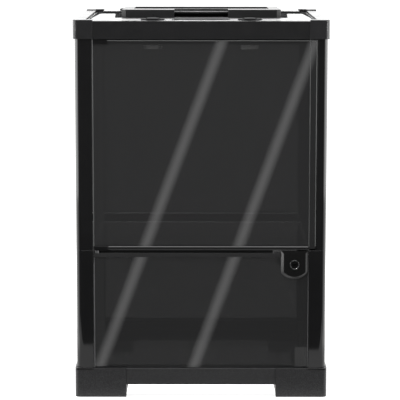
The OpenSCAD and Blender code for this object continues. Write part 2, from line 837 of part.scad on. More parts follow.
// At rest the cam lies level, towards the cabinet's middle, and the door is free
module lock_cam() {
    color("#8a8c90") translate([lock_x, -cab_d / 2 + cam_y, barrel_z])
        rotate([-90, 0, 0]) linear_extrude(cam_t) difference() {
            union() {
                circle(barrel_r + 0.6);
                rect([-cam_l + cam_w / 2, -cam_w / 2], [0, cam_w / 2]);
                translate([-cam_l + cam_w / 2, 0]) circle(cam_w / 2);
            }
            rect([-1.55, -1.55], [1.55, 1.55]);
        }
}

// ---- lid ---------------------------------------------------------------------------

// Diamond openings that fill a window; the cells are stretched to fit it exactly
module diamonds(low, high, cell) {
    size = high - low;
    nx = max(1, round(size[0] / cell));
    ny = max(1, round(size[1] / cell));
    a = size[0] / nx;
    b = size[1] / ny;
    cut = strand * sqrt(a * a + b * b) / 2;
    p = a / 2 - cut / b;
    q = b / 2 - cut / a;
    intersection() {
        rect(low, high);
        union() {
            for (i = [0:nx], j = [0:ny])
                translate([low[0] + i * a, low[1] + j * b])
                    polygon([[p, 0], [0, q], [-p, 0], [0, -q]]);
            for (i = [0:nx - 1], j = [0:ny - 1])
                translate([low[0] + (i + 0.5) * a, low[1] + (j + 0.5) * b])
                    polygon([[p, 0], [0, q], [-p, 0], [0, -q]]);
        }
    }
}

// Windows through the lid under the bare mesh: two at the sides and one behind the hatch
function side_window() = [[ring_hx + window_edge, deck_y0 + deck_side + window_edge],
    [window_hx, deck_y1 - window_edge]];
function rear_window() = [[-ring_hx + window_edge, window_gap],
    [ring_hx - window_edge, deck_y1 - window_edge]];

module windows() {
    w = side_window();
    for (m = [0, 1]) mirror([m, 0]) rect(w[0], w[1]);
    rect(rear_window()[0], rear_window()[1]);
}

// Side deck: it tapers to the rear, where its corners are rounded
module side_deck() {
    near0 = hatch_w / 2 + deck_gap;
    near1 = near0 + deck_taper;
    far1 = deck_hx - deck_taper;
    r = min(deck_r, (far1 - near1) / 2);
    bend = deck_y0 + deck_side - r;
    polygon([[near0, deck_y0 - 1], [deck_hx, deck_y0 - 1], [far1, bend], [near1, bend]]);
    rect([near1 + r, bend - 1], [far1 - r, bend + r]);
    for (x = [near1 + r, far1 - r]) translate([x, bend]) circle(r);
}

// The smooth decks: a front strip, a deck along each side of the hatch, and a rear strip
module deck_outline() {
    rect([-deck_hx, -lid_hy + deck_edge], [deck_hx, deck_y0]);
    for (m = [0, 1]) mirror([m, 0]) side_deck();
    rect([-deck_hx + 2.8, deck_y1], [deck_hx - 2.8, lid_hy - deck_edge]);
}

module lid_frame() {
    color("#1b1b1d") difference() {
        union() {
            translate([0, 0, lid_low]) linear_extrude(lid_t)
                rounded(2 * lid_hx, -lid_hy, lid_hy, 2);
            translate([0, 0, plate_top - eps]) linear_extrude(frame_top - plate_top + eps)
                deck_outline();
            translate([0, 0, plate_top - eps]) linear_extrude(ring_h + eps)
                rect([-ring_hx, hatch_y0 - 1 + eps], [ring_hx, hatch_y1 + 1]);
            for (sx = [-1, 1], sy = [-1, 1])
                translate([sx * knob_x, sy * knob_y, tongue_top + move_gap])
                    cylinder(r = boss_r, h = plate_top - tongue_top - move_gap);
            for (sx = [-1, 1], s = [-1, 1])
                translate([sx * leaf_x + s * lug_x, leaf_y, 0]) hinge_lug();
        }
        translate([0, 0, lid_low - 1]) linear_extrude(lid_t + 1) windows();
        span([-open_hx, open_y0, lid_low - 1], [open_hx, open_y1, frame_top + 1]);
        for (sx = [-1, 1], sy = [-1, 1])
            translate([sx * knob_x, sy * knob_y, tongue_top])
                cylinder(r = shaft_r + shaft_fit, h = frame_top - tongue_top + 1);
        for (x = [-inlet_x, -inlet_x + inlet_pitch])
            translate([x, inlet_y, lid_low - 1]) cylinder(r = inlet_r, h = frame_top);
        for (sx = [-1, 1])
            translate([sx * leaf_x, leaf_y, leaf_z]) rotate([0, 90, 0])
                cylinder(r = hatch_pin_r + 0.02, h = leaf_w + 2 * lug_w + 2, center = true);
        // recess for the thumb pad
        span([-pad_w / 2 - fit, pad_y0 - fit, frame_top - 1], [pad_w / 2 + fit, pad_y1 + fit,
            frame_top + 1]);
    }
}

// Lug beside a hatch knuckle, standing on the lid's plate
module hinge_lug() {
    translate([0, 0, leaf_z]) rotate([0, 90, 0]) cylinder(r = leaf_r, h = lug_w, center = true);
    span([-lug_w / 2, -leaf_r, plate_top - eps], [lug_w / 2, leaf_r, leaf_z]);
}

// Mesh sheet let in between the decks, round the hatch's ring
module lid_mesh() {
    w = side_window();
    color("#141416") translate([0, 0, plate_top]) linear_extrude(mesh_t) difference() {
        rounded(2 * (lid_hx - mesh_edge), -lid_hy + mesh_edge, lid_hy - mesh_edge, 2);
        offset_deck();
        rect([-ring_hx - fit, deck_y0 - 1], [ring_hx + fit, hatch_y1 + 1 + fit]);
        for (sx = [-1, 1], s = [-1, 1])
            translate([sx * leaf_x + s * lug_x, leaf_y])
                square([lug_w + 2 * fit, 2 * leaf_r + 2 * fit], center = true);
        for (m = [0, 1]) mirror([m, 0]) diamonds(w[0], w[1], mesh_cell);
        diamonds(rear_window()[0], rear_window()[1], mesh_cell);
    }
}

// The decks' outline grown by the mesh's side clearance
module offset_deck() {
    for (dx = [-fit, fit], dy = [-fit, fit]) translate([dx, dy]) deck_outline();
}

module thumb_pad() {
    pitch = (pad_y1 - pad_y0 - 2) / rib_count;
    color("#3c3d40") union() {
        span([-pad_w / 2, pad_y0, frame_top - 1], [pad_w / 2, pad_y1, frame_top]);
        for (i = [0:rib_count - 1])
            span([-pad_w / 2 + 1.5, pad_y0 + 1 + (i + 0.25) * pitch, frame_top - eps],
                [pad_w / 2 - 1.5, pad_y0 + 1 + (i + 0.75) * pitch, frame_top + 0.6]);
    }
}

// ---- lid locks ---------------------------------------------------------------------

module knob() {
    z = frame_top + fit;
    color("#1f1f21") {
        difference() {
            translate([0, 0, z]) cylinder(r = knob_r, h = disc_t);
            for (s = [-1, 1]) translate([s * (knob_r - 2.2), 0, z + disc_t - 0.4])
                cylinder(r = 0.8, h = 1);
        }
        translate([0, 0, z + disc_t - eps]) linear_extrude(grip_h + eps) intersection() {
            circle(knob_r - 0.5);
            union() {
                square([grip_w, 2 * knob_r], center = true);
                for (s = [-1, 1]) translate([s * grip_w / 2, 0]) circle(1.2);
            }
        }
        translate([0, 0, tongue_top]) cylinder(r = shaft_r, h = z - tongue_top + eps);
        translate([0, 0, tongue_top - tongue_t / 2 + eps])
            cube([2.6, 2.6, tongue_t], center = true);
    }
}

module tongue() {
    color("#3c3d40") translate([0, 0, tongue_top - tongue_t]) linear_extrude(tongue_t)
        difference() {
            union() {
                square([tongue_l - tongue_w, tongue_w], center = true);
                for (s = [-1, 1]) translate([s * (tongue_l - tongue_w) / 2, 0])
                    circle(tongue_w / 2);
            }
            square(2.7, center = true);
        }
}

module at_knob(sx, sy) { translate([sx * knob_x, sy * knob_y, 0]) children(); }

module knob_front_left() { at_knob(-1, -1) knob(); }
module knob_front_right() { at_knob(1, -1) knob(); }
module knob_rear_left() { at_knob(-1, 1) knob(); }
module knob_rear_right() { at_knob(1, 1) knob(); }
module tongue_front_left() { at_knob(-1, -1) tongue(); }
module tongue_front_right() { at_knob(1, -1) tongue(); }
module tongue_rear_left() { at_knob(-1, 1) tongue(); }
module tongue_rear_right() { at_knob(1, 1) tongue(); }

// ---- feeding hatch -----------------------------------------------------------------

// Side view of the hatch: its top falls from the front to the hinges
module hatch_side(drop) {
    polygon([[hatch_y0 - 1, hatch_low], [hatch_y0 - 1, hatch_top0 - drop + hatch_fall],
        [hatch_y1, hatch_top1 - drop], [hatch_y1, hatch_low]]);
}

// The hatch's outline drawn in by a wall, with chamfered front corners
module hatch_outline(wall) {
    half = hatch_w / 2 - wall;
    y0 = hatch_y0 + wall;
    cut = hatch_cut - wall * (2 - sqrt(2));
    polygon([[-half, y0 + cut], [-half + cut, y0], [half - cut, y0], [half, y0 + cut],
        [half, hatch_y1 + 1], [-half, hatch_y1 + 1]]);
}

// Lip along the notch's rear wall, bowed forward, with room for a finger under it
module finger_lip() {
    half = notch_w / 2 + eps;
    r = (half * half + lip_bow * lip_bow) / (2 * lip_bow);
    translate([0, 0, lip_top - lip_t]) linear_extrude(lip_t) intersection() {
        rect([-half, notch_y - lip_d - lip_bow], [half, notch_y + eps]);
        translate([0, notch_y - lip_d - lip_bow + r]) circle(r, $fn = 180);
    }
}

module hatch_frame() {
    half = hatch_w / 2;
    color("#222224") union() {
        difference() {
            intersection() {
                run_x(-half, half) hatch_side(0);
                translate([0, 0, hatch_low]) linear_extrude(30) hatch_outline(0);
            }
            // well for the mesh, open above, and the window through it
            span([-well_hx, well_y0, shelf_top], [well_hx, well_y1, hatch_top0 + 1]);
            span([-well_hx + well_rim, well_y0 + well_rim, hatch_low - 1],
                [well_hx - well_rim, well_y1 - well_rim, hatch_top0 + 1]);
            // finger notch
            span([-notch_w / 2, hatch_y0 - 2, shelf_top],
                [notch_w / 2, notch_y, hatch_top0 + 1]);
            // hollow under each half of the brow
            intersection() {
                run_x(-half, half) translate([0, -eps]) hatch_side(hatch_wall);
                translate([0, 0, hatch_low - 1]) linear_extrude(30)
                    hatch_outline(hatch_wall);
                for (m = [0, 1]) mirror([m, 0, 0])
                    span([notch_w / 2 + hatch_wall, hatch_y0, hatch_low - 1],
                        [half, well_y0 - hatch_wall, hatch_top0]);
            }
        }
        finger_lip();
        for (sx = [-1, 1]) translate([sx * leaf_x, 0, 0]) difference() {
            union() {
                translate([0, leaf_y, leaf_z]) rotate([0, 90, 0])
                    cylinder(r = leaf_r, h = leaf_w, center = true);
                span([-leaf_w / 2, hatch_y1 - 1, leaf_z - leaf_r + 0.6],
                    [leaf_w / 2, leaf_y, min(hatch_top1, leaf_z + leaf_r)]);
            }
            translate([0, leaf_y, leaf_z]) rotate([0, 90, 0])
                cylinder(r = hatch_pin_r + pin_fit, h = leaf_w + 2, center = true);
        }
    }
}

module hatch_mesh() {
    color("#141416") translate([0, 0, shelf_top]) linear_extrude(mesh_t) difference() {
        rect([-well_hx + fit, well_y0 + fit], [well_hx - fit, well_y1 - fit]);
        diamonds([-well_hx + well_rim, well_y0 + well_rim],
            [well_hx - well_rim, well_y1 - well_rim], hatch_cell);
    }
}

module hatch_pins() {
    color("silver") for (sx = [-1, 1])
        translate([sx * leaf_x, leaf_y, leaf_z]) rotate([0, 90, 0])
            cylinder(r = hatch_pin_r, h = leaf_w + 2 * lug_w + 2 * move_gap, center = true);
}

// ---- cable inlets ------------------------------------------------------------------

// Plug with a domed head, split below for a snap fit
module inlet_plug(x) {
    stem = inlet_r - plug_fit;
    color("#2a2a2c") translate([x, inlet_y, frame_top + fit]) difference() {
        union() {
            rotate_extrude() intersection() {
                rect([0, 0], [plug_r, plug_h]);
                translate([0, plug_h - plug_dome]) circle(plug_dome);
            }
            translate([0, 0, -frame_top + lid_low - fit])
                cylinder(r = stem, h = frame_top - lid_low + fit + 0.5);
        }
        translate([0, 0, -frame_top + lid_low - 1]) cylinder(r = stem - 1, h = 4);
    }
}

module inlet_plug_outer() { inlet_plug(-inlet_x); }
module inlet_plug_inner() { inlet_plug(-inlet_x + inlet_pitch); }

base_frame();
foot_front_left();
foot_front_right();
foot_rear_left();
foot_rear_right();
foot_screws();
floor_pane();
lower_post_front_left();
lower_post_front_right();
lower_post_rear_left();
lower_post_rear_right();
upper_post_front_left();
upper_post_front_right();
upper_post_rear_left();
upper_post_rear_right();
lower_pane_front();
lower_pane_right();
lower_pane_rear();
lower_pane_left();
upper_pane_right();
upper_pane_rear();
upper_pane_left();
vent_rail();
middle_rail_right();
middle_rail_rear();
middle_rail_left();
top_rail_front();
top_rail_right();
top_rail_rear();
top_rail_left();
top_corner_front_left();
top_corner_front_right();
top_corner_rear_left();
top_corner_rear_right();
hinge_bush_top();
hinge_bush_bottom();
lock_plate();
lock_nut();
door_pane();
door_hinge_top();
door_hinge_bottom();
door_bar();
lock_barrel();
lock_cam();
lid_frame();
lid_mesh();
thumb_pad();
hatch_frame();
hatch_mesh();
hatch_pins();
knob_front_left();
knob_front_right();
knob_rear_left();
knob_rear_right();
tongue_front_left();
tongue_front_right();
tongue_rear_left();
tongue_rear_right();
inlet_plug_outer();
inlet_plug_inner();
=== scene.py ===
import bpy
import json
import math
from mathutils import Matrix, Vector
from mathutils.bvhtree import BVHTree

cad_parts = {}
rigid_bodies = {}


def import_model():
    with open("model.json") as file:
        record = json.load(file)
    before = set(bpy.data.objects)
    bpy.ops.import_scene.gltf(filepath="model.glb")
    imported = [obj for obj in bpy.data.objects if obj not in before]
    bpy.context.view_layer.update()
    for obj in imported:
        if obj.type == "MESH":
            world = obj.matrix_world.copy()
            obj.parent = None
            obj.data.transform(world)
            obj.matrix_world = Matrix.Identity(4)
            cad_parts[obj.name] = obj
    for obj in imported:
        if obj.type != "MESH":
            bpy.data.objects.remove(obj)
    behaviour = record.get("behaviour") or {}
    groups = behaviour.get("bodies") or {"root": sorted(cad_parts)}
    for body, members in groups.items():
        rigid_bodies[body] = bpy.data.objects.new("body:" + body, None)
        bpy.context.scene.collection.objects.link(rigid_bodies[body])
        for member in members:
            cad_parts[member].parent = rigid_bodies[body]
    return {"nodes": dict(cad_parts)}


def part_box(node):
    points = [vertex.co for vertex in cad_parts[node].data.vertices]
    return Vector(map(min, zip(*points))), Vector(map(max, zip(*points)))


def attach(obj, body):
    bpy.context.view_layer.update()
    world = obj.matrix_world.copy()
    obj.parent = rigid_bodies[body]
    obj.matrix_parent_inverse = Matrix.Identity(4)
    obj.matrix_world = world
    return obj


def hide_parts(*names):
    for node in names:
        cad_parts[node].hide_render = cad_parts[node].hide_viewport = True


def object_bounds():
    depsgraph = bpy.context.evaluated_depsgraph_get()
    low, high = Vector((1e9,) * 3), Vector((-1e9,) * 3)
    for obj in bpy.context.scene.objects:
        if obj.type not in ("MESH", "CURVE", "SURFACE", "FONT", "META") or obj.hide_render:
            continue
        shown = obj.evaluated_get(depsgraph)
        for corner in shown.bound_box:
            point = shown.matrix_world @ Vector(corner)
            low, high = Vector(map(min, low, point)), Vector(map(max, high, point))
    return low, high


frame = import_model()
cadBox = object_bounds()
mm = 0.001
scene = bpy.context.scene
print("frame in, cabinet is", [round(side / mm, 1) for side in cadBox[1] - cadBox[0]], "mm")


# camera: the photograph's standpoint, a little above the lid, pitched down to the cabinet's middle
view = {
    "standoff": 1552 * mm,      # from the feet's front faces
    "height": 390.8 * mm,
    "aimHeight": 166.5 * mm,    # where the middle of the picture meets the front
    "lens": 171.2,
    "sensor": 36,
    "roll": 0.05,               # degrees, right side low
    "shiftX": -0.0028,
    "clip": (0.05, 60),
}


def placeCamera(look):
    front = cadBox[0].y
    camera = bpy.data.objects.new("camera", bpy.data.cameras.new("camera"))
    scene.collection.objects.link(camera)
    camera.location = (0, front - look["standoff"], look["height"])
    aim = Vector((0, front, look["aimHeight"])) - camera.location
    roll = Matrix.Rotation(math.radians(look["roll"]), 3, "Z")
    camera.rotation_euler = (aim.to_track_quat("-Z", "Y").to_matrix() @ roll).to_euler()
    camera.data.sensor_width = look["sensor"]
    camera.data.lens = look["lens"]
    camera.data.shift_x = look["shiftX"]
    camera.data.clip_start, camera.data.clip_end = look["clip"]
    scene.camera = camera
    return camera


camera = placeCamera(view)
scene.view_settings.view_transform = "Standard"
print("camera placed")


# node shorthand
def addNode(tree, kind, **values):
    made = tree.nodes.new(kind)
    for key, value in values.items():
        setattr(made, key, value)
    return made


def wire(tree, start, end):
    tree.links.new(start, end)


def ramp(tree, source, low, high, outLow, outHigh):
    mapped = addNode(tree, "ShaderNodeMapRange")
    ends = (low, high, outLow, outHigh)
    for key, value in zip(("From Min", "From Max", "To Min", "To Max"), ends):
        mapped.inputs[key].default_value = value
    wire(tree, source, mapped.inputs["Value"])
    return mapped.outputs["Result"]


def maths(tree, operation, *values):
    made = addNode(tree, "ShaderNodeMath", operation=operation)
    for socket, value in zip(made.inputs, values):
        if isinstance(value, (int, float)):
            socket.default_value = value
        else:
            wire(tree, value, socket)
    return made.outputs["Value"]


def noise(tree, size, detail):
    place = addNode(tree, "ShaderNodeTexCoord")
    cloud = addNode(tree, "ShaderNodeTexNoise")
    cloud.inputs["Scale"].default_value = 1 / size
    cloud.inputs["Detail"].default_value = detail
    wire(tree, place.outputs["Object"], cloud.inputs["Vector"])
    return cloud.outputs["Fac"]


def axesOf(tree, kind):
    place = addNode(tree, "ShaderNodeTexCoord")
    axes = addNode(tree, "ShaderNodeSeparateXYZ")
    wire(tree, place.outputs[kind], axes.inputs["Vector"])
    return axes.outputs


def newMaterial(name):
    material = bpy.data.materials.new(name)
    material.use_nodes = True
    return material, material.node_tree, material.node_tree.nodes["Principled BSDF"]


# parts of a finish that several materials share
def mottle(tree, shader, dark, light, factor):
    tone = addNode(tree, "ShaderNodeMix", data_type="RGBA")
    tone.inputs["A"].default_value = (*dark, 1)
    tone.inputs["B"].default_value = (*light, 1)
    wire(tree, factor, tone.inputs["Factor"])
    wire(tree, tone.outputs["Result"], shader.inputs["Base Color"])


def smear(tree, shader, look, detail):
    cloud = noise(tree, look["smearSize"], detail)
    uneven = ramp(tree, cloud, *look["smearRange"], *look["roughness"])
    wire(tree, uneven, shader.inputs["Roughness"])


def grain(tree, shader, look, detail):
    bump = addNode(tree, "ShaderNodeBump")
    bump.inputs["Strength"].default_value = look["grain"]
    bump.inputs["Distance"].default_value = look["grainDepth"]
    wire(tree, noise(tree, look["grainSize"], detail), bump.inputs["Height"])
    wire(tree, bump.outputs["Normal"], shader.inputs["Normal"])


# every moulded plastic starts from these values, with its own over them
plasticBase = {
    "fleckGain": 1.25,          # the mottle's lighter colour, where a plastic has none of its own
    "fleckSize": 9 * mm,
    "fleckRange": (0.4, 0.7),
    "smearSize": 26 * mm,
    "smearRange": (0.3, 0.7),
    "grainSize": 0.9 * mm,
    "grainDepth": 0.02 * mm,
    "sheen": 0.5,
}
plastics = {
    "basePlastic": {
        "colour": (0.026, 0.026, 0.027), "fleck": (0.045, 0.045, 0.046), "fleckSize": 0.9 * mm,
        "roughness": (0.40, 0.52), "grain": 0.35, "grainSize": 0.7 * mm, "grainDepth": 0.04 * mm,
    },
    "footPlastic": {
        "colour": (0.018, 0.018, 0.019), "fleck": (0.048, 0.048, 0.049), "fleckSize": 0.8 * mm,
        "roughness": (0.46, 0.58), "grain": 0.6, "grainSize": 0.8 * mm, "grainDepth": 0.05 * mm,
    },
    "postPlastic": {
        "colour": (0.0035, 0.0035, 0.0038), "roughness": (0.05, 0.08), "grain": 0.08,
        "grainSize": 3 * mm, "grainDepth": 0.012 * mm,
    },
    "topPlastic": {
        "colour": (0.010, 0.010, 0.0105), "roughness": (0.20, 0.27), "grain": 0.15,
        "grainSize": 0.6 * mm,
    },
    "ventPlastic": {
        "colour": (0.020, 0.020, 0.0205), "roughness": (0.12, 0.18), "grain": 0.1,
        "grainSize": 0.8 * mm, "sheen": 1.0,
    },
    "lockPlastic": {
        "colour": (0.004, 0.004, 0.004), "roughness": (0.12, 0.20), "grain": 0.1,
        "grainSize": 1.4 * mm, "grainDepth": 0.01 * mm,
    },
    "deckPlastic": {
        "colour": (0.006, 0.006, 0.0065), "roughness": (0.42, 0.50), "grain": 0.08,
        "grainSize": 2.2 * mm, "grainDepth": 0.012 * mm, "sheen": 1.0,
    },
    "tonguePlastic": {
        "colour": (0.42, 0.42, 0.41), "roughness": (0.35, 0.45), "grain": 0.1,
    },
    "hatchPlastic": {
        "colour": (0.015, 0.015, 0.0155), "roughness": (0.26, 0.34), "grain": 0.1,
        "grainSize": 1.4 * mm, "grainDepth": 0.012 * mm, "sheen": 0.22,
    },
    "knobPlastic": {
        "colour": (0.016, 0.016, 0.0165), "roughness": (0.50, 0.60), "grain": 0.3,
        "grainSize": 0.6 * mm, "sheen": 0.04,
    },
    "padRubber": {
        "colour": (0.060, 0.060, 0.062), "roughness": (0.62, 0.75), "grain": 0.4,
        "grainSize": 0.5 * mm, "grainDepth": 0.03 * mm, "sheen": 0.15,
    },
    "meshCoating": {
        "colour": (0.014, 0.014, 0.015), "roughness": (0.60, 0.70), "grain": 0.3,
        "grainSize": 0.3 * mm, "grainDepth": 0.01 * mm, "sheen": 0.08,
    },
}


def mouldedPlastic(name, own):
    look = {**plasticBase, **own}
    material, tree, shader = newMaterial(name)
    dark = look["colour"]
    light = look.get("fleck", [channel * look["fleckGain"] for channel in dark])
    cloud = noise(tree, look["fleckSize"], detail=3)
    mottle(tree, shader, dark, light, ramp(tree, cloud, *look["fleckRange"], 0, 1))
    smear(tree, shader, look, detail=4)
    grain(tree, shader, look, detail=2)
    shader.inputs["Specular IOR Level"].default_value = look["sheen"]
    return material


# smoked glass: Alpha stays a plain value, so that the panes stay see-through everywhere
glassLook = {
    "tint": (0.0246, 0.0250, 0.0256),
    "opacity": 0.755,           # of one face, a pane has two
    "roughness": (0.02, 0.045),
    "smearSize": 34 * mm,
    "smearRange": (0.35, 0.65),
    "ior": 1.5,
    "faces": 1.0,               # specular level, 1 stands for the pane's two faces together
}


def smokedGlass(look):
    material, tree, shader = newMaterial("smokedGlass")
    shader.inputs["Base Color"].default_value = (*look["tint"], 1)
    shader.inputs["Alpha"].default_value = look["opacity"]
    shader.inputs["IOR"].default_value = look["ior"]
    shader.inputs["Specular IOR Level"].default_value = look["faces"]
    smear(tree, shader, look, detail=4)
    material.surface_render_method = "BLENDED"
    return material


metalBase = {
    "smearSize": 1.6 * mm,
    "smearRange": (0.3, 0.7),
    "grain": 0.15,
    "grainSize": 0.5 * mm,
    "grainDepth": 0.01 * mm,
}
metals = {
    "steel": {"colour": (0.42, 0.42, 0.43), "roughness": (0.22, 0.36)},
    "ringSteel": {"colour": (0.22, 0.22, 0.225), "roughness": (0.10, 0.16)},
    "darkSteel": {"colour": (0.035, 0.035, 0.036), "roughness": (0.18, 0.26)},
}


def plainMetal(name, own):
    look = {**metalBase, **own}
    material, tree, shader = newMaterial(name)
    shader.inputs["Metallic"].default_value = 1
    shader.inputs["Base Color"].default_value = (*look["colour"], 1)
    smear(tree, shader, look, detail=5)
    grain(tree, shader, look, detail=3)
    return material


materials = {name: mouldedPlastic(name, look) for name, look in plastics.items()}
materials["smokedGlass"] = smokedGlass(glassLook)
for name, look in metals.items():
    materials[name] = plainMetal(name, look)
print("materials made:", len(materials))


# finish and edge radius in mm of each kind of node, found by the start of its name
finishes = {
    "base_frame": ("basePlastic", 0.5),
    "foot_screws": ("steel", 0),
    "foot_": ("footPlastic", 0.6),
    "floor_pane": ("smokedGlass", 0.3),
    "lower_post": ("postPlastic", 0.55),
    "upper_post": ("postPlastic", 0.55),
    "lower_pane": ("smokedGlass", 0.3),
    "upper_pane": ("smokedGlass", 0.3),
    "vent_rail": ("ventPlastic", 0.3),
    "middle_rail": ("postPlastic", 0.4),
    "top_rail": ("topPlastic", 0.5),
    "top_corner": ("topPlastic", 0.9),
    "hinge_bush": ("steel", 0),
    "lock_plate": ("lockPlastic", 0),
    "lock_nut": ("steel", 0.2),
    "door_pane": ("smokedGlass", 0.3),
    "door_hinge": ("postPlastic", 0.3),
    "door_bar": ("postPlastic", 0.15),
    "lock_barrel": ("darkSteel", 0.25),
    "lock_cam": ("darkSteel", 0.15),
    "lid_frame": ("deckPlastic", 0.3),
    "thumb_pad": ("padRubber", 0.2),
    "hatch_frame": ("hatchPlastic", 0.45),
    "hatch_pins": ("steel", 0.2),
    "knob_": ("knobPlastic", 0.3),
    "tongue_": ("tonguePlastic", 0.4),
    "inlet_plug": ("knobPlastic", 0.25),
}
edgeLook = {
    "weld": 0.002 * mm,
    "flat": 0.6,                # degrees, faces that count as one
    "bend": 34,                 # degrees, over the facets of round faces
    "segments": 3,
    "weight": 80,
}


def softenEdges(piece, radius, look):
    weld = piece.modifiers.new("weld", "WELD")
    weld.merge_threshold = look["weld"]
    flat = piece.modifiers.new("flatFaces", "DECIMATE")
    flat.decimate_type = "DISSOLVE"
    flat.angle_limit = math.radians(look["flat"])
    bevel = piece.modifiers.new("edges", "BEVEL")
    bevel.width = radius * mm
    bevel.segments = look["segments"]
    bevel.limit_method = "ANGLE"
    bevel.angle_limit = math.radians(look["bend"])
    shading = piece.modifiers.new("shading", "WEIGHTED_NORMAL")
    shading.weight = look["weight"]


def dress(nodeName, piece):
    for start, (finish, radius) in finishes.items():
        if nodeName.startswith(start):
            piece.data.materials.clear()
            piece.data.materials.append(materials[finish])
            if radius:
                softenEdges(piece, radius, edgeLook)
            return True
    return False


# meshes: flat sheets, and pieces of many bars, each of two ends with four corners
barFaces = ((0, 1, 3, 2), (4, 6, 7, 5), (0, 4, 5, 1), (2, 3, 7, 6), (0, 2, 6, 4), (1, 5, 7, 3))


def addPiece(name, corners, faces, material):
    sheet = bpy.data.meshes.new(name)
    sheet.from_pydata(corners, [], faces)
    sheet.validate()
    sheet.materials.append(material)
    piece = bpy.data.objects.new(name, sheet)
    scene.collection.objects.link(piece)
    return piece


def addSheet(name, corners, material):
    return addPiece(name, corners, [(0, 1, 2, 3)], material)


def addBars(name, bars, material):
    corners = [corner for bar in bars for corner in bar]
    starts = range(0, len(corners), 8)
    faces = [[start + corner for corner in face] for start in starts for face in barFaces]
    return addPiece(name, corners, faces, material)


# lid gauze: fine expanded metal over the lid's plate and in the hatch's well
gauze = {
    "cellWide": 3.2 * mm,
    "cellDeep": 2.0 * mm,
    "strandWide": 0.5 * mm,
    "strandTall": 0.36 * mm,
    "relief": 0.1 * mm,         # one set of strands rides this much over the other
    "lift": 0.1 * mm,           # over the underside of the solid that it replaces
    "edge": 0.7 * mm,           # bare margin at the lid's rim
    "step": 0.4 * mm,           # along a strand, where it looks for what covers it
    "above": 50 * mm,           # over the mesh, where that look down starts
    "cover": 0.2 * mm,          # height over the mesh's underside from which the frame covers it
}


def strandRuns(low, high, lean, isOpen, look):
    slope = look["cellDeep"] / look["cellWide"]
    width = (high.y - low.y) / slope
    steps = int(width / look["step"])
    count = int(((high.x - low.x) + width) / look["cellWide"]) + 2
    for k in range(count):
        start = low.x - width + k * look["cellWide"]
        run = []
        for i in range(steps + 2):
            along = i * look["step"]
            x = start + along
            y = low.y + along * slope if lean > 0 else high.y - along * slope
            inside = i <= steps and low.x < x < high.x and low.y < y < high.y
            if inside and isOpen(x, y):
                run.append((x, y))
                continue
            if len(run) > 2:
                yield run[0], run[-1]
            run = []


def gauzeSheet(name, low, high, isOpen, look):
    bars = []
    slope = look["cellDeep"] / look["cellWide"]
    for lean in (1, -1):
        across = Vector((-lean * slope, 1, 0)).normalized() * look["strandWide"] / 2
        base = low.z + look["lift"] + (look["relief"] if lean > 0 else 0)
        levels = (base, base + look["strandTall"])
        for ends in strandRuns(low, high, lean, isOpen, look):
            bars.append([(x + side * across.x, y + side * across.y, z)
                         for x, y in ends for z in levels for side in (-1, 1)])
    print(name, "strands:", len(bars))
    return addBars(name, bars, materials["meshCoating"])


def makeGauze(look):
    bpy.context.view_layer.update()
    lid = frame["nodes"]["lid_frame"]
    tree = BVHTree.FromObject(lid, bpy.context.evaluated_depsgraph_get())
    low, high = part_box("lid_mesh")
    margin = Vector((look["edge"], look["edge"], 0))

    def overPlate(x, y):
        hit = tree.ray_cast(Vector((x, y, high.z + look["above"])), Vector((0, 0, -1)))[0]
        return hit is None or hit.z < low.z + look["cover"]

    lidGauze = gauzeSheet("lidGauze", low + margin, high - margin, overPlate, look)
    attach(lidGauze, "lid")
    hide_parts("lid_mesh")
    wellLow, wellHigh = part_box("hatch_mesh")
    hatchGauze = gauzeSheet("hatchGauze", wellLow, wellHigh, lambda x, y: True, look)
    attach(hatchGauze, "hatch")
    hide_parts("hatch_mesh")


makeGauze(gauze)
bare = [name for name, piece in frame["nodes"].items() if not dress(name, piece)]
print("nodes dressed:", len(frame["nodes"]) - len(bare), "left to the gauze:", bare)


# bright ring pressed round the lock's barrel
lockRing = {
    "wire": 0.28 * mm,          # radius of the ring's section
    "inset": 0.42 * mm,         # from the barrel's edge
    "sunk": 0.056 * mm,         # its middle behind the lock's front
    "sides": 96,
    "wireSides": 16,
}


def makeLockRing(look):
    low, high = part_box("lock_barrel")
    face = min(low.y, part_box("lock_plate")[0].y)
    bpy.ops.mesh.primitive_torus_add(
        major_radius=(high.x - low.x) / 2 - look["inset"] + look["wire"],
        minor_radius=look["wire"],
        major_segments=look["sides"],
        minor_segments=look["wireSides"],
        rotation=(math.pi / 2, 0, 0),
        location=((low.x + high.x) / 2, face + look["sunk"], (low.z + high.z) / 2))
    ring = bpy.context.object
    ring.name = "lockRing"
    ring.data.polygons.foreach_set("use_smooth", [True] * len(ring.data.polygons))
    ring.data.materials.append(materials["ringSteel"])
    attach(ring, "lock")


makeLockRing(lockRing)
print("lock ring made")


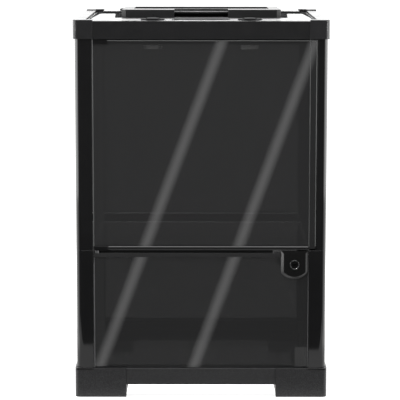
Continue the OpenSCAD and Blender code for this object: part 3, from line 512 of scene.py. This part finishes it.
# slim painted lines: pale painted highlights along the glass edges, the rear rail and the top corner
# blocks' inner edges, and a dark painted shade line on the feet
paintedLineBase = {
    "proud": 0.03 * mm,
    "sunk": 0.3 * mm,
    "roughness": 0.4,
    "mottleSize": 40 * mm,
    "mottleRange": (0.35, 0.7),
    "dim": 0.6,                 # the mottle's darker colour, as a share of the first
}
paintedLines = {
    # pale lines painted on the door pane as highlights: along its top and side edges, and where the
    # right post's inner edge shows through the glass, 'bevel' in from the right
    "doorArris": {
        "wide": 0.75 * mm, "colour": (0.12, 0.125, 0.122), "body": "door", "slot": "smoked_glass",
        "bevel": 5.4 * mm, "bevelWide": 0.45 * mm,
    },
    # pale lines painted on the lower front pane as highlights, along the posts' inner edges
    "paneArris": {
        "wide": 1.0 * mm, "rightWide": 0.5 * mm, "colour": (0.21, 0.21, 0.215), "body": "cabinet",
        "slot": "smoked_glass", "inset": 0.3 * mm,
    },
    # a near-black line painted on each front foot just under its top, below the post: painted shade
    # of the gap between foot and post
    "footShadeLine": {
        "wide": 0.9 * mm, "drop": 0.36 * mm, "colour": (0.003, 0.003, 0.003), "body": "cabinet",
        "slot": "foot_plastic",
    },
    # a line lighter than the corner blocks, painted up their inner edges: a painted highlight
    "cornerHighlightLine": {
        "wide": 0.35 * mm, "gap": 1.2 * mm, "colour": (0.045, 0.045, 0.046), "body": "cabinet",
        "slot": "top_plastic",
    },
    # pale lines painted along the rear rail's top and bottom edges as highlights
    "railArris": {
        "wide": 0.7 * mm, "colour": (0.6, 0.6, 0.6), "body": "cabinet", "slot": "post_plastic",
    },
}


# each of these gives the plane that its lines lie on, and the lines as x0, x1, z0, z1
def doorRuns(look):
    low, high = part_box("door_pane")
    wide = look["wide"]
    bottom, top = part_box("door_bar")[1].z, high.z - wide
    bevelled = high.x - look["bevel"]
    return low.y, [
        (low.x, high.x, top, high.z),
        (low.x, low.x + wide, bottom, top),
        (high.x - wide, high.x, bottom, top),
        (bevelled - look["bevelWide"], bevelled, bottom, top),
    ]


def paneRuns(look):
    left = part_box("lower_post_front_left")[1].x + look["inset"]
    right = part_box("lower_post_front_right")[0].x - look["inset"]
    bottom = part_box("foot_front_left")[1].z
    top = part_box("vent_rail")[0].z
    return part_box("lower_pane_front")[0].y, [
        (left, left + look["wide"], bottom, top),
        (right - look["rightWide"], right, bottom, top),
    ]


def footRuns(look):
    runs = []
    for side in ("left", "right"):
        low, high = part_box("foot_front_" + side)
        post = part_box("lower_post_front_" + side)
        top = high.z - look["drop"]
        runs.append((post[0].x, post[1].x, top - look["wide"], top))
    return low.y, runs


def cornerRuns(look):
    runs = []
    half = look["wide"] / 2
    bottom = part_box("door_pane")[1].z + look["gap"]     # the corner blocks stand on the posts there
    for side, edge in (("left", 1), ("right", 0)):
        low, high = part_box("top_corner_front_" + side)
        x = (low, high)[edge].x
        runs.append((x - half, x + half, bottom, high.z - look["gap"]))
    return low.y, runs


def railRuns(look):
    low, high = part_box("middle_rail_rear")
    wide = look["wide"]
    return low.y, [(low.x, high.x, z, z + wide) for z in (low.z, high.z - wide)]


def makePaintedLine(name, own, measure):
    look = {**paintedLineBase, **own}
    material, tree, shader = newMaterial(name)
    shader.inputs["Roughness"].default_value = look["roughness"]
    dim = [channel * look["dim"] for channel in look["colour"]]
    cloud = noise(tree, look["mottleSize"], detail=3)
    mottle(tree, shader, look["colour"], dim, ramp(tree, cloud, *look["mottleRange"], 0, 1))
    front, runs = measure(look)
    depths = (front - look["proud"], front + look["sunk"])
    bars = [[(x, y, z) for x in (x0, x1) for y in depths for z in (z0, z1)]
            for x0, x1, z0, z1 in runs]
    piece = addBars(name, bars, material)
    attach(piece, look["body"])


for name, measure in (("doorArris", doorRuns), ("paneArris", paneRuns), ("footShadeLine", footRuns),
                      ("cornerHighlightLine", cornerRuns), ("railArris", railRuns)):
    makePaintedLine(name, paintedLines[name], measure)
print("arrises made:", len(paintedLines))


# stage: a pale sweep and soft light. The room in front is dim, so that the black faces stay black.
# Lengths are metres, counted from the middle of the cabinet or, where it says so, from its faces
stageLook = {
    "floorSize": 60,
    "floorDrop": 0.05 * mm,
    "floorShade": 0.34,         # what of the floor's white can fall into shadow
    "floorGlow": 0.84,
    "glassGlow": 1.38,          # nearer floor behind the object, which shows through the lower panes
    "glassStarts": (0.04, 0.12),    # from the rear face
    "glassEnds": (0.56, 0.68),
    "underGlow": 1.9,           # and under it
    "underEnds": (15 * mm, 5 * mm),     # in from the outer faces
    "nearGlow": 1.3,            # floor as the object mirrors it, under and behind it
    "glowEnds": (-0.125, -0.10),    # where the floor in front turns dim in reflections
    "frontGlow": 0.13,
    "farGlow": 0.19,
    "farEnds": (-1.0, -0.7),
    "sideGlow": 2.4,            # the same floor beside the object, seen past its front corners
    "sideEnds": (0.21, 0.30),
    "sideTurn": (-0.60, 0.25),  # steps back for each step aside, where it starts and is full
    "roomFront": 0.19,
    "roomBack": 2.6,
    "roomTurn": (-0.25, 0.30),  # share of the view direction towards the rear
}


def glowOrCamera(tree, seen, mirrored):
    path = addNode(tree, "ShaderNodeLightPath")
    mix = addNode(tree, "ShaderNodeMixShader")
    wire(tree, path.outputs["Is Camera Ray"], mix.inputs["Fac"])
    wire(tree, mirrored, mix.inputs[1])
    wire(tree, seen, mix.inputs[2])
    return mix.outputs["Shader"]


def seenFloor(tree, y, aside, look):
    corner = cadBox[1]
    starts = [corner.y + gap for gap in look["glassStarts"]]
    rise = ramp(tree, y, *starts, look["floorGlow"], look["glassGlow"])
    fall = ramp(tree, y, *look["glassEnds"], look["glassGlow"], look["floorGlow"])
    behind = maths(tree, "MINIMUM", rise, fall)
    reach = maths(tree, "MAXIMUM", aside, maths(tree, "ABSOLUTE", y))
    ends = [corner.x - inset for inset in look["underEnds"]]
    below = ramp(tree, reach, *ends, look["underGlow"], 0)
    return maths(tree, "MAXIMUM", behind, below)


def mirroredFloor(tree, y, aside, look):
    corner = cadBox[1]
    inFront = ramp(tree, y, *look["farEnds"], look["farGlow"], look["frontGlow"])
    under = ramp(tree, y, *look["glowEnds"], 0, look["nearGlow"])
    apart = ramp(tree, aside, *look["sideEnds"], 0, look["sideGlow"])
    back = maths(tree, "ADD", y, corner.y)
    slant = maths(tree, "DIVIDE", back, maths(tree, "SUBTRACT", aside, corner.x))
    beside = maths(tree, "MULTIPLY", apart, ramp(tree, slant, *look["sideTurn"], 0, 1))
    return maths(tree, "MAXIMUM", maths(tree, "MAXIMUM", inFront, under), beside)


def makeFloor(look):
    material, tree, shader = newMaterial("floorPaper")
    tree.nodes.remove(shader)
    axes = axesOf(tree, "Object")
    y, aside = axes["Y"], maths(tree, "ABSOLUTE", axes["X"])
    matt = addNode(tree, "ShaderNodeBsdfDiffuse")
    matt.inputs["Color"].default_value = (*[look["floorShade"]] * 3, 1)
    glow = addNode(tree, "ShaderNodeEmission")
    wire(tree, seenFloor(tree, y, aside, look), glow.inputs["Strength"])
    seen = addNode(tree, "ShaderNodeAddShader")
    wire(tree, matt.outputs["BSDF"], seen.inputs[0])
    wire(tree, glow.outputs["Emission"], seen.inputs[1])
    mirrored = addNode(tree, "ShaderNodeEmission")
    wire(tree, mirroredFloor(tree, y, aside, look), mirrored.inputs["Strength"])
    paper = glowOrCamera(tree, seen.outputs["Shader"], mirrored.outputs["Emission"])
    wire(tree, paper, tree.nodes["Material Output"].inputs["Surface"])
    half = look["floorSize"] / 2
    corners = [(-half, -half, 0), (half, -half, 0), (half, half, 0), (-half, half, 0)]
    floor = addSheet("floor", corners, material)
    floor.location.z = -look["floorDrop"]


def makeRoom(look):
    room = bpy.data.worlds.new("room")
    room.use_nodes = True
    scene.world = room
    tree = room.node_tree
    tree.nodes.clear()
    towardsRear = axesOf(tree, "Generated")["Y"]
    mirrored = addNode(tree, "ShaderNodeBackground")
    level = ramp(tree, towardsRear, *look["roomTurn"], look["roomFront"], look["roomBack"])
    wire(tree, level, mirrored.inputs["Strength"])
    seen = addNode(tree, "ShaderNodeBackground")
    seen.inputs["Color"].default_value = (1, 1, 1, 1)
    end = addNode(tree, "ShaderNodeOutputWorld")
    mixed = glowOrCamera(tree, seen.outputs["Background"], mirrored.outputs["Background"])
    wire(tree, mixed, end.inputs["Surface"])


# the light falls only on the pieces whose names start so, or on all but these
def onlyFor(light, starts, without=False):
    group = bpy.data.collections.new(light.name + "Pieces")
    for piece in list(scene.objects):
        if piece.type == "MESH" and piece.name.startswith(starts):
            group.objects.link(piece)
    if without:
        for entry in group.collection_objects:
            entry.light_linking.link_state = "EXCLUDE"
    light.light_linking.receiver_collection = group
    return group


lampAim = 160 * mm              # the height that every lamp looks at
lamps = {
    "keyFront": {"at": (-0.4, -1.5, 1.2), "size": (1.2, 1.2), "power": 12, "mirrored": False},
    "boxRight": {"at": (1.0, 0.0, 0.45), "size": (0.9, 0.9), "power": 5.5,
                 "without": ("upper_pane", "lower_pane")},
    "boxLeft": {"at": (-1.0, 0.0, 0.45), "size": (0.9, 0.9), "power": 6.5,
                "without": ("upper_pane", "lower_pane")},
    "boxTop": {"at": (0, -0.45, 1.3), "size": (1.4, 1.2), "power": 11, "aimY": -0.45,
               "without": ("lock_plate",)},
    "boxEdges": {"at": (0, -0.45, 1.35), "size": (1.4, 1.2), "power": 22, "aimY": -0.45,
                 "for": ("door_bar", "lower_post", "upper_post", "top_", "base_frame", "foot_",
                         "hatch_frame")},
    "boxLid": {"at": (0, 1.7, 0.75), "size": (2.6, 1.0), "power": 24, "for": ("lid_frame",)},
    "sparkLeft": {"at": (-0.5, -1.0, 0.75), "size": (0.12, 0.12), "power": 9,
                  "for": ("lock_barrel", "lockRing")},
    "sparkRight": {"at": (0.65, -1.0, 0.75), "size": (0.12, 0.12), "power": 12,
                   "for": ("lock_barrel", "lockRing")},
    "railFront": {"at": (0, -0.9, 1.0), "size": (1.2, 0.5), "power": 20, "through": True,
                  "for": ("middle_rail_rear", "railArris")},
    "tongueFront": {"at": (0, -1.2, 0.5), "size": (1.0, 0.6), "power": 13, "through": True,
                    "for": ("tongue_",)},
    "rimLeft": {"at": (-1.3, -0.9, 0.6), "size": (0.6, 0.6), "power": 14,
                "for": ("top_corner_front_left",)},
    "rimRight": {"at": (1.3, -0.9, 0.6), "size": (0.6, 0.6), "power": 24,
                 "for": ("top_corner_front_right",)},
    "doorFront": {"at": (0, -1.4, 0.3), "size": (0.6, 0.6), "power": 4, "for": ("doorArris",)},
}


def makeLamps(table):
    for name, look in table.items():
        lamp = bpy.data.lights.new(name, "AREA")
        lamp.shape = "RECTANGLE"
        lamp.size, lamp.size_y = look["size"]
        lamp.energy = look["power"]
        body = bpy.data.objects.new(name, lamp)
        body.location = look["at"]
        aim = Vector((0, look.get("aimY", 0), lampAim)) - body.location
        body.rotation_euler = aim.to_track_quat("-Z", "Y").to_euler()
        body.visible_camera = False
        body.visible_glossy = look.get("mirrored", True)
        if "for" in look:
            group = onlyFor(body, look["for"])
            if "through" in look:   # the panes in front throw no shadow in it
                body.light_linking.blocker_collection = group
        if "without" in look:
            onlyFor(body, look["without"], without=True)
        scene.collection.objects.link(body)


# a card that glows and hides nothing behind it
def clearGlow(name):
    material, tree, shader = newMaterial(name)
    tree.nodes.remove(shader)
    glow = addNode(tree, "ShaderNodeEmission")
    clear = addNode(tree, "ShaderNodeBsdfTransparent")
    both = addNode(tree, "ShaderNodeAddShader")
    wire(tree, glow.outputs["Emission"], both.inputs[0])
    wire(tree, clear.outputs["BSDF"], both.inputs[1])
    wire(tree, both.outputs["Shader"], tree.nodes["Material Output"].inputs["Surface"])
    return material, tree, glow


def onlyMirrored(card, starts):
    card.visible_camera = False
    card.visible_shadow = False
    card.visible_transmission = False
    onlyFor(card, starts)


# slim soft strips whose mirror images run over the front glass, two slantwise, a faint one upright
strips = {
    "topReach": 120 * mm,       # how far a strip's ends stand in front of the glass
    "bottomReach": 66 * mm,
    "for": ("door_pane", "upper_pane", "lower_pane", "floor_pane"),
    "lines": {                  # where on the glass each image starts and ends: x and height
        "stripLeft": {"ends": ((18.8 * mm, 302 * mm), (-86.7 * mm, 19 * mm)), "width": 13.4 * mm,
                      "soft": 0.42, "glow": 1.10},
        "stripRight": {"ends": ((95.0 * mm, 302 * mm), (-8.4 * mm, 19 * mm)), "width": 13.4 * mm,
                       "soft": 0.42, "glow": 1.10},
        "bandLeft": {"ends": ((-84.5 * mm, 302 * mm), (-84.5 * mm, 19 * mm)), "width": 9.5 * mm,
                     "soft": 0.10, "glow": 0.075},
    },
}


def softStrip(name, line):
    material, tree, glow = clearGlow(name)
    across = axesOf(tree, "UV")["X"]
    rise = ramp(tree, across, 0, line["soft"], 0, 1)
    fall = ramp(tree, across, 1 - line["soft"], 1, line["glow"], 0)
    wire(tree, maths(tree, "MULTIPLY", rise, fall), glow.inputs["Strength"])
    material.cycles.emission_sampling = "NONE"
    return material


# the point in front of the glass whose image the camera sees at the spot
def imageSource(spot, reach):
    ray = spot - camera.location
    return spot + Vector((ray.x, -ray.y, ray.z)) * (reach / ray.y)


def makeStrips(look):
    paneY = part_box("door_pane")[0].y
    for name, line in look["lines"].items():
        (topX, topZ), (bottomX, bottomZ) = line["ends"]
        top = imageSource(Vector((topX, paneY, topZ)), look["topReach"])
        bottom = imageSource(Vector((bottomX, paneY, bottomZ)), look["bottomReach"])
        along = (top - bottom).normalized()
        across = along.cross(Vector((0, 1, 0))).normalized() * line["width"] / 2
        corners = [bottom - across, bottom + across, top + across, top - across]
        strip = addSheet(name, corners, softStrip(name, line))
        edge = strip.data.uv_layers.new(name="across")
        for loop, u in zip(edge.data, (0, 1, 1, 0)):
            loop.uv = (u, 0)
        strip.visible_diffuse = False
        onlyMirrored(strip, look["for"])


# paper on the floor in front, which only some pieces mirror. A card widens with its distance, so
# that the mirror images of its sides stand upright
floorCards = {
    "frontCard": {
        "glow": 0.62, "x": (-190 * mm, 190 * mm), "reach": (2 * mm, 168 * mm),
        "for": ("lock_", "top_", "vent_rail", "door_bar"),
    },
    "leftCard": {
        "glow": 0.80, "x": (-330 * mm, 0), "reach": (2 * mm, 196 * mm),
        "for": ("lower_post_front_left",),
    },
    "rightCard": {
        "glow": 0.84, "x": (0, 330 * mm), "reach": (2 * mm, 174 * mm),
        "for": ("lower_post_front_right",),
    },
    "paneCard": {
        "glow": 0.02, "x": (-89 * mm, 89 * mm), "reach": (2 * mm, 1200 * mm),
        "for": ("lower_pane_front",),
    },
    "plateCard": {
        "glow": 3.4, "x": (-1150 * mm, -480 * mm), "reach": (60 * mm, 380 * mm),
        "for": ("lock_plate",),
    },
    "cornerCard": {
        "glow": 0.34, "x": (78.5 * mm, 89 * mm), "reach": (60 * mm, 178 * mm),
        "for": ("lower_pane_front",),
    },
}
cardStep = 0.2 * mm             # from one card up to the next


def makeFloorCards(table):
    front = cadBox[0].y
    for layer, (name, look) in enumerate(table.items(), start=1):
        material, tree, glow = clearGlow(name)
        glow.inputs["Strength"].default_value = look["glow"]
        near, far = look["reach"]
        nearSpread, farSpread = (1 + reach / view["standoff"] for reach in (near, far))
        left, right = look["x"]
        corners = [(left * farSpread, front - far, 0), (right * farSpread, front - far, 0),
                   (right * nearSpread, front - near, 0), (left * nearSpread, front - near, 0)]
        card = addSheet(name, corners, material)
        card.location.z = layer * cardStep
        onlyMirrored(card, look["for"])


makeFloor(stageLook)
makeRoom(stageLook)
makeLamps(lamps)
makeStrips(strips)
makeFloorCards(floorCards)
print("stage and light set")
